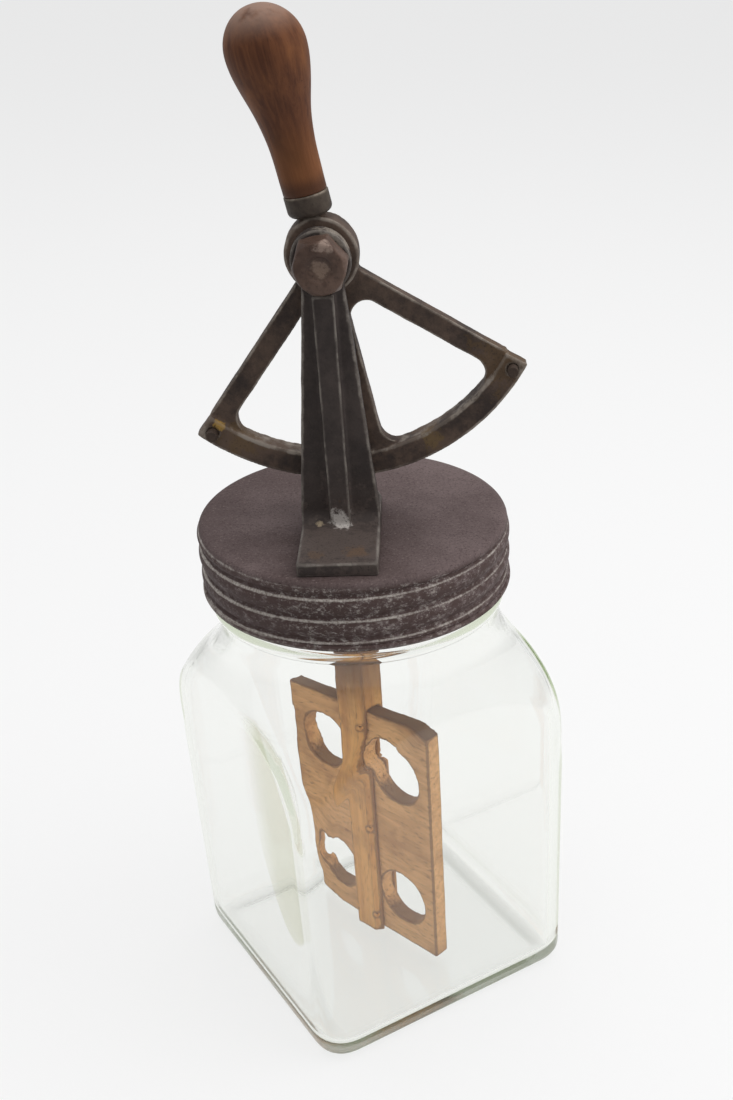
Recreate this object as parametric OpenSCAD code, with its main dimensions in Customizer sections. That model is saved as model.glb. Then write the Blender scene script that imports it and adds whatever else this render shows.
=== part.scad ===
// Glass jar butter churn. A lever with a toothed quadrant swings on a stand on the screw cap and
// turns a wooden dasher inside the jar. Millimetres, +Z up, origin at the centre of the jar's base.
// X runs along the plane of the quadrant, and -Y is the front, where the post stands.

/* [Jar] */
// Height of the jar to the top of its mouth
jar_h = 218; // [205:0.2:235]
// Width of the jar across its flat sides
jar_side = 127.4; // [122:0.2:145]
// Radius of the jar's upright corners
jar_corner_r = 14; // [10:0.1:20]
// Turn of the jar about its axis, against the stand
jar_turn = 31.5; // [0:0.1:90]
// Thickness of the jar's walls
jar_wall = 4.6; // [3.5:0.1:6]
// Thickness of the jar's floor
jar_floor = 6; // [4:0.1:8]
// Radius of the rounded heel round the base
heel_r = 5; // [3:0.5:7]
// Radius of the round inside edge of the floor
inner_heel_r = 2; // [1.5:0.5:4]
// Distance from the cap's outside to the neck, where the threads run
neck_gap = 3.6; // [3.4:0.1:6]
// Height where the shoulder starts to curve in
shoulder_z = 124; // [112:1:130]
// Radius of the shoulder's outward curve
shoulder_arc_r = 44; // [40:1:48]
// Radius of the cove between shoulder and neck
cove_arc_r = 26; // [20:1:28]
// Height of the ring round the neck
neck_ring_z = 188; // [185.6:0.2:190.4]
// Radius of the neck ring's round section
neck_ring_r = 2; // [1:0.1:2.5]
// Height of the glass thread above the neck
thread_proud = 1.3; // [0.8:0.1:1.4]

/* [Cap] */
// Radius of the cap
cap_r = 60; // [59.8:0.1:64]
// Height of the cap's skirt
skirt_h = 27.3; // [26.6:0.1:28.5]
// Thickness of the cap's sheet
cap_t = 0.8; // [0.5:0.1:1]
// Radius of the cap's rounded top edge
cap_edge_r = 2.5; // [1.5:0.1:3]
// Depth of the first rolled groove below the cap's top
groove_first = 4.6; // [4.2:0.1:5]
// Pitch of the rolled grooves
groove_pitch = 8.9; // [8.5:0.1:9.1]
// Radius of a groove's round section
groove_r = 1.3; // [0.9:0.1:1.4]
// Depth of a groove in the skirt
groove_depth = 1; // [0.5:0.1:1]
// How far the bands between the grooves bulge
band_bulge = 0.8; // [0.3:0.1:1.2]
// Radius of the curl round the skirt's lower edge
curl_r = 1.1; // [1:0.1:1.2]
// Thickness of the sealing ring
gasket_t = 2.3; // [1.5:0.1:3]

/* [Stand] */
// Shift of the stand to the left of the cap's centre
stand_shift = 3.6; // [0:0.1:5]
// Width of the foot plate
foot_w = 29.4; // [27:0.1:31]
// Thickness of the foot plate
foot_t = 5; // [4:0.1:7]
// Distance from the cap's edge to the front edge of the foot plate
foot_inset = 6.6; // [5.6:0.1:11]
// Width of the post at the pivot
post_top_w = 13.2; // [12:0.1:18]
// Thickness of the post's plate
post_t = 4.5; // [3.5:0.1:6]
// Width of the rib up the post's front
rib_w = 7.6; // [5:0.1:10]
// How far the rib stands out from the plate
rib_proud = 4; // [2:0.1:4.5]
// Radius of the fillet between post and foot
post_fillet_r = 5; // [3:0.1:6]
// Radius of the boss round the pivot
boss_r = 10.4; // [9.5:0.1:10.6]
// How far the pivot boss stands out from the plate
boss_proud = 1; // [0.5:0.1:2]
// Radius of the boss round the spindle
spindle_boss_r = 10.5; // [9.8:0.1:13]
// Height of the spindle's boss above the cap
spindle_boss_h = 13.5; // [11:0.1:14]

/* [Quadrant] */
// Lean of the handle to the left, as it stands
lever_tilt = 11.4; // [0:0.1:20]
// Angle from the quadrant's middle to its outer edges
half_span = 48.5; // [46:0.1:51]
// Height of the rim above the cap
rim_clear = 20.2; // [19:0.1:24]
// Thickness of the rim without its teeth
rim_t = 6; // [5:0.1:8]
// Width of the rim inside the pitch line
rim_inside = 4.6; // [4.2:0.1:5]
// Width of the rim outside the pitch line
rim_outside = 4.4; // [4:0.1:6]
// How far the arms' outer edges lie outside the line from the pivot
arm_out = 2; // [0:0.1:2.5]
// Width of the arms and the middle spoke
arm_w = 7.6; // [6:0.1:9]
// Thickness of the arms
arm_t = 5.5; // [4:0.1:5.5]
// How far the arms lie behind the rim's front
arm_step = 2; // [1:0.1:2.5]
// Radius of the hub
hub_r = 12.8; // [12:0.1:13]
// Radius of the windows' round corners at the rim
window_r = 7; // [4:0.1:9]
// Radius of the windows' round corners at the hub
window_top_r = 6; // [4:0.1:8]
// Radius of the stop pins
stop_pin_r = 2; // [1.5:0.1:2.5]
// Angle of the stop pins from the quadrant's middle
stop_pin_angle = 47; // [45.5:0.1:47.5]
// How far the stop pins stand out in front
stop_pin_proud = 3.5; // [2:0.1:4]

/* [Gear] */
// Size of the teeth, pitch diameter over number of teeth
gear_module = 2; // [1.9:0.02:2.04]
// Teeth on the pinion
pinion_teeth = 8; // [8:1:8]
// Turns of the pinion in one turn of the quadrant
gear_ratio = 9.5; // [9:0.5:10.5]
// Height of a pinion tooth above the pitch line
tooth_add = 1.7; // [1.4:0.05:1.8]
// Gap between a tooth's tip and the facing root
tip_clear = 0.5; // [0.4:0.05:0.8]
// Thickness of a tooth at the pitch line
tooth_w = 2.3; // [1.8:0.05:2.35]
// How much a tooth narrows on each side per millimetre of height
tooth_slope = 0.28; // [0.22:0.01:0.32]
// Gap between the ends of the pinion and the wall at the tooth ends
pinion_end_gap = 0.5; // [0.4:0.1:1]

/* [Handle] */
// Distance from the pivot to the ferrule's lower end
ferrule_start = 13.2; // [13.1:0.1:15]
// Length of the ferrule
ferrule_len = 7; // [6:0.1:10]
// Radius of the ferrule
ferrule_r = 7.7; // [7:0.1:8.6]
// Thickness of the ferrule's wall
ferrule_t = 0.9; // [0.6:0.1:1.2]
// Length of the grip beyond the ferrule
grip_len = 56.7; // [50:0.1:75]
// Radius of the grip's neck
grip_neck_r = 7.5; // [7:0.1:8.4]
// Radius of the grip's bulb
grip_bulb_r = 13.4; // [11:0.1:15]
// Length of the rounded end beyond the thickest place
grip_end_len = 13; // [11:0.5:18]
// Radius of the tang inside the grip
tang_r = 3.2; // [2.5:0.1:3.8]
// Length of the tang beyond the ferrule's lower end
tang_len = 42; // [25:1:42]

/* [Spindle] */
// Distance of the spindle behind the cap's centre
spindle_y = 3.1; // [1:0.1:6]
// Radius of the spindle
spindle_r = 4.5; // [3.8:0.1:4.5]
// Thickness of the bush's wall
bush_wall = 1.75; // [1.3:0.05:2]
// Thickness of the bush's flange
bush_flange_t = 1.5; // [1:0.1:2.5]
// Width of the bush's flange beyond its body
bush_flange_w = 2.7; // [2:0.1:4]
// Radius of the pinion's hub
pinion_hub_r = 7; // [6.5:0.1:7.2]
// Thickness of the thrust washer under the pinion
thrust_t = 1.2; // [0.8:0.1:1.5]
// Radius of the pinion's cross pin
pinion_pin_r = 1.25; // [1:0.05:1.5]
// Length of the spindle in the dasher's stem
socket_depth = 36; // [25:1:60]

/* [Dasher] */
// Turn of the blades about the spindle, as it stands
blade_turn = -43; // [-90:1:90]
// Height of the stem's lower end above the jar's floor
dasher_clear = 2.5; // [2:0.1:6]
// Width of the square stem
stem_w = 16; // [14.5:0.1:17]
// Size of the flats on the stem's corners
stem_chamfer = 2.6; // [1:0.1:3]
// Reach of the blades from the spindle
blade_reach = 41; // [38:0.5:43]
// Height of the blades' lower edge above the stem's end
blade_lift = 0.8; // [0:0.1:4]
// Height of the blades
blade_h = 122; // [112:1:126]
// Thickness of the blades
blade_t = 7.6; // [6:0.1:8]
// Depth of the blades' grooves in the stem
blade_groove = 4.4; // [3:0.1:4.6]
// Radius of the holes in the blades
blade_hole_r = 13.5; // [9:0.1:13.8]
// Distance from the spindle to the holes' centres
blade_hole_reach = 21; // [20.8:0.1:22]
// Height of the lower hole above the blades' lower edge
blade_hole_low = 26; // [22:0.5:30]
// Distance of the upper hole below the blades' upper edge
blade_hole_top = 27; // [20:0.5:30]

/* [Fasteners] */
// Radius of the pivot bolt's shank
bolt_r = 5.55; // [4.8:0.05:6]
// Width across the flats of the bolt's head and nut
bolt_flats = 17.5; // [16.5:0.1:19]
// Height of the bolt's head
bolt_head_h = 9; // [6:0.1:10]
// Height of the pivot nut
pivot_nut_h = 8; // [5:0.1:10]
// Thickness of the washers at the hub
pivot_washer_t = 0.8; // [0.5:0.1:1.4]
// How far the pivot bolt stands out of its nut
bolt_end = 2; // [1:0.1:5]
// Thickness of the backing plate under the cap
backing_t = 2.5; // [1.5:0.1:4]
// Width of the backing plate
backing_w = 26; // [24:0.1:28]
// Radius of the foot screws
foot_screw_r = 2.2; // [1.8:0.1:2.5]
// Depth of the foot screws in the foot
foot_screw_depth = 3.8; // [2.5:0.1:3.8]
// Distance from the foot's front edge to the first pair of screws
foot_screw_inset = 14; // [12:0.5:15]
// Spacing of the two pairs of screws along the foot
foot_screw_pitch = 22; // [20:0.5:23]
// Spacing of each pair of screws across the foot
foot_screw_span = 17; // [14:0.5:18]
// Radius of the dasher's cross pin
dasher_pin_r = 1.5; // [1:0.05:2]
// Radius of the nails through the blades
nail_r = 1; // [0.7:0.05:1.2]

/* [Hidden] */
$fn = 72;

// Clearances
fit = 0.05;
loose_fit = 0.2;
run_gap = 0.3;
cut = 1;

// Jar
neck_r = cap_r - neck_gap;
shoulder_r = jar_side / 2 * sqrt(2) - jar_corner_r * (sqrt(2) - 1);
shoulder_angle = acos(1 - (shoulder_r - neck_r) / (shoulder_arc_r + cove_arc_r));
mouth_r = neck_r - jar_wall;

// Cap
cap_top = jar_h + gasket_t + cap_t;
cap_under = cap_top - cap_t;
skirt_bottom = cap_top - skirt_h;
groove_count = 3;
groove_mouth = 1.6;
band_w = groove_pitch - groove_mouth * groove_r;
band_arc_r = (band_w * band_w / 4 + band_bulge * band_bulge) / (2 * band_bulge);
gasket_lap = 1;

// Gear, in the quadrant's own frame with the pivot at the origin
pinion_pitch_r = gear_module * pinion_teeth / 2;
sector_pitch_r = pinion_pitch_r * gear_ratio;
tooth_angle = 360 / (pinion_teeth * gear_ratio);
tooth_reach = floor((half_span - tooth_angle) / tooth_angle);
mesh_y = spindle_y - pinion_pitch_r;
tooth_wall = 1.2;
tooth_set_in = 1;
tooth_short = 0.1;
root_sink = 1;
wall_step = 1.2;

// Quadrant
rim_in = sector_pitch_r - rim_inside;
rim_out = sector_pitch_r + rim_outside;
rim_back = mesh_y - tooth_add - tip_clear;
rim_front = rim_back - rim_t;
tooth_top = mesh_y + tooth_add - tooth_short;
tooth_in = rim_in + tooth_wall;
tooth_out = rim_out - tooth_set_in;
wall_top = tooth_top - wall_step;
arm_front = rim_front + arm_step;
arm_len = rim_in + tooth_wall / 2;
hub_back = tooth_top;
hub_mid = (rim_front + hub_back) / 2;
lever_neck_r = 4.8;
stop_pin_offset = 0.6;
stop_pin_reach = (rim_in + rim_out) / 2 + stop_pin_offset;
window_overlap = 0.1;
rim_half_angle = half_span + atan(arm_out / sector_pitch_r);
pivot_z = cap_top + rim_clear + rim_out;

// Stand
stand_x = -stand_shift;
foot_front = foot_inset - cap_r;
foot_len = spindle_y - foot_front;
post_back = rim_front - pivot_washer_t;
post_front = post_back - post_t;
rib_front = post_front - rib_proud;
boss_front = post_front - boss_proud;
foot_top = cap_top + foot_t;
spindle_boss_top = cap_top + spindle_boss_h;

// Bolt
bolt_corner_r = bolt_flats / 2 / cos(30);
bolt_turn = -11;
head_chamfer = 0.4;
head_face_r = bolt_flats / 2 - head_chamfer;
head_cone_h = 2 * bolt_head_h;
dish_r = 4.2;
dish_depth = 0.8;
washer_r = 9.8;

// Backing plate, bush and screws
backing_under = cap_under - backing_t;
backing_inset = 8;
backing_reach = 12;
backing_front = foot_front + backing_inset;
backing_back = spindle_y + backing_reach;
bush_r = spindle_r + fit + bush_wall;
bush_flange_r = bush_r + bush_flange_w;
bush_under = backing_under - bush_flange_t;
screw_head_w = 1.9;
screw_head_d = 1.2;
screw_head_r = foot_screw_r * screw_head_w;
screw_head_h = foot_screw_r * screw_head_d;
screw_slot_w = screw_head_h / 3;
screw_spots = [
  for (row = [0, 1])
    for (side = [-1, 1])
      [stand_x + side * foot_screw_span / 2, foot_front + foot_screw_inset + row * foot_screw_pitch]
];

// Pinion and spindle
root_gap = 0.2;
tooth_sink = 0.6;
pinion_step = 0.6;
spindle_end = 1;
pinion_root_r = pinion_pitch_r - tooth_add - tip_clear - root_gap;
pinion_hub_z = spindle_boss_top + thrust_t;
pinion_z = pivot_z - tooth_out;
pinion_top = pivot_z - tooth_in - pinion_end_gap;
pinion_phase = gear_ratio * (lever_tilt + tooth_angle / 2);
pinion_pin_z = (pinion_hub_z + pinion_z) / 2;
pinion_boss_top = pinion_top + pinion_step;
spindle_top = pinion_boss_top + spindle_end;
thrust_r = 8;

// Dasher
dasher_washer_t = 1.5;
dasher_washer_r = 8.5;
stem_top = bush_under - run_gap - dasher_washer_t;
stem_bottom = jar_floor + dasher_clear;
blade_bottom = stem_bottom + blade_lift;
blade_top = blade_bottom + blade_h;
hole_low_z = blade_bottom + blade_hole_low;
hole_high_z = blade_top - blade_hole_top;
blade_inner = stem_w / 2 - blade_groove;
nail_reach = stem_w / 2 - blade_groove / 2;
nail_inset = 9;
nail_heights = [blade_bottom + nail_inset, (hole_low_z + hole_high_z) / 2, blade_top - nail_inset];
dasher_pin_drop = 12;
dasher_pin_z = stem_top - dasher_pin_drop;

// Handle
grip_start = ferrule_start + ferrule_len;
grip_tip = grip_start + grip_len;
grip_thick = grip_tip - grip_end_len;
grip_neck_len = 4.5;
grip_swell_start = grip_start + grip_neck_len;
grip_steps = 16;
ferrule_round = 2;
stub_gap = 1;
stub_chamfer = 1;

// Colours
glass_colour = [0.80, 0.90, 0.84, 0.45];
cap_colour = [0.36, 0.29, 0.28];
iron_colour = [0.20, 0.17, 0.15];
steel_colour = [0.48, 0.45, 0.42];
brass_colour = [0.62, 0.50, 0.26];
rubber_colour = [0.24, 0.13, 0.11];
grip_colour = [0.45, 0.20, 0.09];
dasher_colour = [0.74, 0.57, 0.40];

// Places things on the spindle's axis
module at_spindle(z = 0) {
  translate([stand_x, spindle_y, z]) children();
}

// Places the quadrant's frame on the pivot, at the lean the lever stands at
module at_pivot() {
  translate([stand_x, 0, pivot_z]) rotate([0, -lever_tilt, 0]) children();
}

// A round bar along +Y from one depth to another
module bar_y(r, from, to) {
  translate([0, from, 0]) rotate([-90, 0, 0]) cylinder(r = r, h = to - from);
}

// A flat outline in X and Z, made solid from one depth to another
module plate_y(from, to) {
  translate([0, to, 0]) rotate([90, 0, 0]) linear_extrude(to - from) children();
}

// A stretch of ring about the Y axis, centred below the pivot
module ring_y(r_in, r_out, from, to, half_angle) {
  rotate([90, 0, 0])
    rotate([0, 0, -90 - half_angle])
      rotate_extrude(angle = 2 * half_angle)
        translate([r_in, -to]) square([r_out - r_in, to - from]);
}

module rounded_square(side, r) {
  square([side - 2 * r, side], center = true);
  square([side, side - 2 * r], center = true);
  for (x = [-1, 1])
    for (y = [-1, 1])
      translate([x * (side / 2 - r), y * (side / 2 - r)]) circle(r);
}

// Outline that turns into shoulder and neck: an outward curve, then a cove
module shoulder_outline(inset, bottom, top) {
  curve_x = shoulder_r - shoulder_arc_r;
  both = shoulder_arc_r + cove_arc_r;
  cove_x = curve_x + both * cos(shoulder_angle);
  cove_z = shoulder_z + both * sin(shoulder_angle);
  curve_end = shoulder_arc_r - inset;
  difference() {
    union() {
      polygon([
        [0, bottom], [shoulder_r - inset, bottom], [shoulder_r - inset, shoulder_z],
        [curve_x + curve_end * cos(shoulder_angle), shoulder_z + curve_end * sin(shoulder_angle)],
        [cove_x, cove_z], [neck_r - inset, cove_z], [neck_r - inset, top], [0, top]
      ]);
      intersection() {
        translate([curve_x, shoulder_z]) circle(curve_end);
        square([shoulder_r, top]);
      }
    }
    translate([cove_x, cove_z]) circle(cove_arc_r + inset);
  }
}

// Upright slab with its two lower edges rounded
module heel_slab(side, bottom, top, r) {
  rotate([90, 0, 0])
    linear_extrude(side + 2 * cut, center = true) {
      translate([-side / 2, bottom + r]) square([side, top - bottom - r]);
      translate([-side / 2 + r, bottom]) square([side - 2 * r, top - bottom]);
      for (x = [-1, 1])
        translate([x * (side / 2 - r), bottom + r]) circle(r);
    }
}

// Square body with shoulder and neck, drawn in by inset from the outside of the jar
module jar_form(inset, bottom, top, r) {
  side = jar_side - 2 * inset;
  intersection() {
    translate([0, 0, bottom])
      linear_extrude(top - bottom) rounded_square(side, jar_corner_r - inset);
    heel_slab(side, bottom, top, r);
    rotate([0, 0, 90]) heel_slab(side, bottom, top, r);
    rotate_extrude() shoulder_outline(inset, bottom, top);
  }
}

module jar() {
  color(glass_colour)
    rotate([0, 0, jar_turn])
      difference() {
        union() {
          jar_form(0, 0, jar_h, heel_r);
          rotate_extrude() translate([neck_r, neck_ring_z]) circle(neck_ring_r);
          for (i = [0:groove_count - 2])
            rotate_extrude()
              translate([neck_r, cap_top - groove_first - (i + 0.5) * groove_pitch])
                circle(thread_proud);
        }
        jar_form(jar_wall, jar_floor, jar_h + cut, inner_heel_r);
      }
}

// Half section of the cap, drawn in by inset from its outside
module cap_section(inset, bottom) {
  difference() {
    union() {
      translate([0, bottom]) square([cap_r - inset, cap_top - cap_edge_r - bottom]);
      translate([0, bottom]) square([cap_r - cap_edge_r, cap_top - inset - bottom]);
      translate([cap_r - cap_edge_r, cap_top - cap_edge_r]) circle(cap_edge_r - inset);
      for (i = [0:groove_count - 2])
        translate([cap_r + band_bulge - band_arc_r, cap_top - groove_first - (i + 0.5) * groove_pitch])
          circle(band_arc_r - inset);
    }
    for (i = [0:groove_count - 1])
      translate([cap_r + groove_r - groove_depth, cap_top - groove_first - i * groove_pitch])
        circle(groove_r + inset);
  }
}

module screw_cap() {
  color(cap_colour)
    difference() {
      union() {
        difference() {
          rotate_extrude() intersection() {
            cap_section(0, skirt_bottom);
            translate([0, skirt_bottom]) square([2 * cap_r, skirt_h]);
          }
          rotate_extrude() intersection() {
            cap_section(cap_t, skirt_bottom - cut);
            translate([0, skirt_bottom - cut]) square([2 * cap_r, skirt_h - cap_t + cut]);
          }
        }
        rotate_extrude() translate([cap_r, skirt_bottom + curl_r]) circle(curl_r);
      }
      at_spindle(cap_under - cut) cylinder(r = bush_r + loose_fit, h = cap_t + 2 * cut);
      for (spot = screw_spots)
        translate([spot[0], spot[1], cap_under - cut])
          cylinder(r = foot_screw_r + loose_fit, h = cap_t + 2 * cut);
    }
}

module cap_gasket() {
  color(rubber_colour)
    translate([0, 0, jar_h + fit])
      difference() {
        cylinder(r = neck_r + gasket_lap, h = gasket_t - 2 * fit);
        translate([0, 0, -cut]) cylinder(r = mouth_r, h = gasket_t + 2 * cut);
      }
}

// Outline of the post in X and Z, as wide as the foot below and narrow at the pivot
module post_outline() {
  taper_z = foot_top + post_fillet_r;
  polygon([
    [-foot_w / 2, cap_top], [foot_w / 2, cap_top], [foot_w / 2, taper_z],
    [post_top_w / 2, pivot_z], [-post_top_w / 2, pivot_z], [-foot_w / 2, taper_z]
  ]);
}

module standard() {
  color(iron_colour)
    difference() {
      union() {
        translate([stand_x - foot_w / 2, foot_front, cap_top]) cube([foot_w, foot_len, foot_t]);
        at_spindle(cap_top) cylinder(d = foot_w, h = foot_t);
        at_spindle(cap_top) cylinder(r = spindle_boss_r, h = spindle_boss_h);
        translate([stand_x, 0, 0]) plate_y(post_front, post_back) post_outline();
        translate([stand_x - rib_w / 2, rib_front, cap_top])
          cube([rib_w, rib_proud + post_t / 2, rim_clear + rim_out - boss_r]);
        translate([stand_x, 0, pivot_z]) bar_y(boss_r, boss_front, post_back);
        intersection() {
          translate([stand_x, 0, 0])
            plate_y(post_front - post_fillet_r, post_back) post_outline();
          difference() {
            translate([stand_x - foot_w / 2, post_front - post_fillet_r, cap_top])
              cube([foot_w, post_fillet_r + post_t / 2, foot_t + post_fillet_r]);
            translate([stand_x - foot_w, post_front - post_fillet_r, foot_top + post_fillet_r])
              rotate([0, 90, 0]) cylinder(r = post_fillet_r, h = 2 * foot_w);
          }
        }
      }
      translate([stand_x, 0, pivot_z]) bar_y(bolt_r + fit, boss_front - cut, post_back + cut);
      at_spindle(cap_top - cut) cylinder(r = bush_r + fit, h = spindle_boss_h + 2 * cut);
      for (spot = screw_spots)
        translate([spot[0], spot[1], cap_top - cut])
          cylinder(r = foot_screw_r + fit, h = foot_screw_depth + run_gap + cut);
    }
}

module backing_plate() {
  color(steel_colour)
    difference() {
      translate([stand_x - backing_w / 2, backing_front, backing_under])
        cube([backing_w, backing_back - backing_front, backing_t]);
      at_spindle(backing_under - cut) cylinder(r = bush_r + fit, h = backing_t + 2 * cut);
      for (spot = screw_spots)
        translate([spot[0], spot[1], backing_under - cut])
          cylinder(r = foot_screw_r + loose_fit, h = backing_t + 2 * cut);
    }
}

module foot_screws() {
  color(steel_colour)
    for (spot = screw_spots)
      translate([spot[0], spot[1], backing_under - screw_head_h])
        difference() {
          union() {
            cylinder(r = screw_head_r, h = screw_head_h);
            cylinder(r = foot_screw_r, h = screw_head_h + backing_t + cap_t + foot_screw_depth);
          }
          translate([-screw_head_r, -screw_slot_w / 2, -cut])
            cube([2 * screw_head_r, screw_slot_w, cut + screw_head_h / 2]);
        }
}

module spindle_bush() {
  color(brass_colour)
    difference() {
      union() {
        at_spindle(bush_under) cylinder(r = bush_flange_r, h = bush_flange_t);
        at_spindle(bush_under) cylinder(r = bush_r, h = spindle_boss_top - bush_under);
      }
      at_spindle(bush_under - cut)
        cylinder(r = spindle_r + fit, h = spindle_boss_top - bush_under + 2 * cut);
    }
}

module thrust_washer() {
  color(steel_colour)
    at_spindle(spindle_boss_top)
      difference() {
        cylinder(r = thrust_r, h = thrust_t);
        translate([0, 0, -cut]) cylinder(r = spindle_r + fit, h = thrust_t + 2 * cut);
      }
}

module pivot_bolt() {
  shank_end = hub_back + pivot_washer_t + pivot_nut_h + bolt_end;
  color(iron_colour)
    translate([stand_x, 0, pivot_z])
      difference() {
        union() {
          intersection() {
            translate([0, boss_front - bolt_head_h, 0])
              rotate([-90, bolt_turn, 0]) cylinder(r = bolt_corner_r, h = bolt_head_h, $fn = 6);
            translate([0, boss_front - bolt_head_h, 0])
              rotate([-90, 0, 0])
                cylinder(r1 = head_face_r, r2 = head_face_r + bolt_head_h, h = head_cone_h);
          }
          bar_y(bolt_r, boss_front - bolt_head_h / 2, shank_end);
        }
        bar_y(dish_r, boss_front - bolt_head_h - cut, boss_front - bolt_head_h + dish_depth);
      }
}

module pivot_washers() {
  color(steel_colour)
    translate([stand_x, 0, pivot_z])
      for (face = [post_back, hub_back])
        difference() {
          bar_y(washer_r, face, face + pivot_washer_t);
          bar_y(bolt_r + fit, face - cut, face + pivot_washer_t + cut);
        }
}

module pivot_nut() {
  nut_front = hub_back + pivot_washer_t;
  color(steel_colour)
    translate([stand_x, 0, pivot_z])
      difference() {
        translate([0, nut_front, 0])
          rotate([-90, 0, 0]) cylinder(r = bolt_corner_r, h = pivot_nut_h, $fn = 6);
        bar_y(bolt_r + fit, nut_front - cut, nut_front + pivot_nut_h + cut);
      }
}

// Round corner between a straight edge at x and the inside of the rim, on the window's side
module window_corner(x, side) {
  offset_r = window_r - window_overlap;
  centre_x = x + side * offset_r;
  reach = rim_in - offset_r;
  centre_z = -sqrt(reach * reach - centre_x * centre_x);
  touch = rim_in / reach;
  difference() {
    polygon([
      [x - side, centre_z], [x - side, centre_z * touch - window_r],
      [centre_x * touch, centre_z * touch], [centre_x, centre_z]
    ]);
    translate([centre_x, centre_z]) circle(window_r);
    difference() {
      circle(2 * rim_out);
      circle(arm_len);
    }
  }
}

// Round corner between the middle spoke and the arm on one side, next to the hub
module window_crown(side) {
  offset_r = window_top_r - window_overlap;
  centre_x = arm_w / 2 + offset_r;
  centre_z = -(arm_w - arm_out + offset_r + centre_x * cos(half_span)) / sin(half_span);
  reach = offset_r + root_sink;
  scale([side, 1])
    difference() {
      polygon([
        [0, 0], [arm_w / 2 - root_sink, centre_z], [centre_x, centre_z],
        [centre_x + reach * cos(half_span), centre_z + reach * sin(half_span)]
      ]);
      translate([centre_x, centre_z]) circle(window_top_r);
    }
}

// Outline of the middle spoke and the two arms, with the windows' round corners
module arms_outline() {
  translate([-arm_w / 2, -arm_len]) square([arm_w, arm_len]);
  for (side = [-1, 1]) {
    window_corner(side * arm_w / 2, side);
    window_crown(side);
    rotate(side * half_span) {
      translate([side > 0 ? arm_out - arm_w : -arm_out, -arm_len]) square([arm_w, arm_len]);
      window_corner(side * (arm_out - arm_w), -side);
    }
  }
}

// A tooth of the quadrant, standing out of the rim's back
module sector_tooth() {
  base = rim_back - root_sink;
  root = tooth_w / 2 + tooth_slope * (mesh_y - base);
  tip = tooth_w / 2 - tooth_slope * (tooth_top - mesh_y);
  translate([0, 0, -tooth_out])
    linear_extrude(tooth_out - tooth_in + tooth_wall / 2)
      polygon([[-root, base], [root, base], [tip, tooth_top], [-tip, tooth_top]]);
}

module quadrant() {
  color(iron_colour)
    at_pivot()
      difference() {
        union() {
          bar_y(hub_r, rim_front, hub_back);
          plate_y(arm_front, arm_front + arm_t) arms_outline();
          ring_y(rim_in, rim_out, rim_front, rim_back, rim_half_angle);
          ring_y(rim_in, tooth_in, rim_back - root_sink, wall_top, rim_half_angle);
          for (i = [-tooth_reach:tooth_reach])
            rotate([0, -i * tooth_angle, 0]) sector_tooth();
          translate([0, hub_mid, 0]) cylinder(r = lever_neck_r, h = ferrule_start);
          translate([0, hub_mid, 0]) cylinder(r = tang_r, h = ferrule_start + tang_len);
        }
        bar_y(bolt_r + fit, rim_front - cut, hub_back + cut);
        for (side = [-1, 1])
          rotate([0, -side * stop_pin_angle, 0])
            translate([0, 0, -stop_pin_reach])
              bar_y(stop_pin_r + fit, rim_front - cut, rim_back - run_gap);
      }
}

module stop_pins() {
  color(iron_colour)
    at_pivot()
      for (side = [-1, 1])
        rotate([0, -side * stop_pin_angle, 0])
          translate([0, 0, -stop_pin_reach])
            bar_y(stop_pin_r, rim_front - stop_pin_proud, rim_back - 2 * run_gap);
}

// Half section of the ferrule's cup
module ferrule_section(inset) {
  r = ferrule_r - inset;
  low = ferrule_start + inset;
  corner = ferrule_round - inset;
  translate([0, low]) square([r - corner, grip_start - low]);
  translate([0, low + corner]) square([r, grip_start - low - corner]);
  translate([r - corner, low + corner]) circle(corner);
}

module handle_ferrule() {
  color(steel_colour)
    at_pivot()
      translate([0, hub_mid, 0])
        rotate_extrude()
          difference() {
            intersection() {
              ferrule_section(0);
              square([2 * ferrule_r, grip_start]);
            }
            intersection() {
              ferrule_section(ferrule_t);
              square([2 * ferrule_r, 2 * grip_start]);
            }
            translate([0, ferrule_start - cut]) square([tang_r + fit, ferrule_len]);
            translate([0, grip_start - cut]) square([ferrule_r - ferrule_t, 2 * cut]);
          }
}

// Radius of the grip at a distance from the pivot: a neck that swells to the bulb, then a round end
function grip_radius(t) =
  t > grip_thick
    ? grip_bulb_r * sqrt(max(0, 1 - pow((t - grip_thick) / grip_end_len, 2)))
    : let (u = max(0, (t - grip_swell_start) / (grip_thick - grip_swell_start)))
      grip_neck_r + (grip_bulb_r - grip_neck_r) * (0.5 - 0.5 * cos(180 * pow(u, 1.5)));

module handle_grip() {
  stub_r = ferrule_r - ferrule_t - fit;
  stub_low = ferrule_start + ferrule_t + stub_gap;
  color(grip_colour)
    at_pivot()
      translate([0, hub_mid, 0])
        difference() {
          rotate_extrude()
            polygon(concat(
              [[0, stub_low], [stub_r - stub_chamfer, stub_low]],
              [[stub_r, stub_low + stub_chamfer], [stub_r, grip_start]],
              [for (i = [0:grip_steps])
                let (t = grip_start + (grip_thick - grip_start) * i / grip_steps) [grip_radius(t), t]],
              [for (i = [1:grip_steps - 1])
                let (t = grip_thick + grip_end_len * sin(90 * i / grip_steps)) [grip_radius(t), t]],
              [[0, grip_tip]]
            ));
          translate([0, 0, stub_low - cut])
            cylinder(r = tang_r + fit, h = ferrule_start + tang_len + 2 * cut - stub_low);
        }
}

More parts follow.
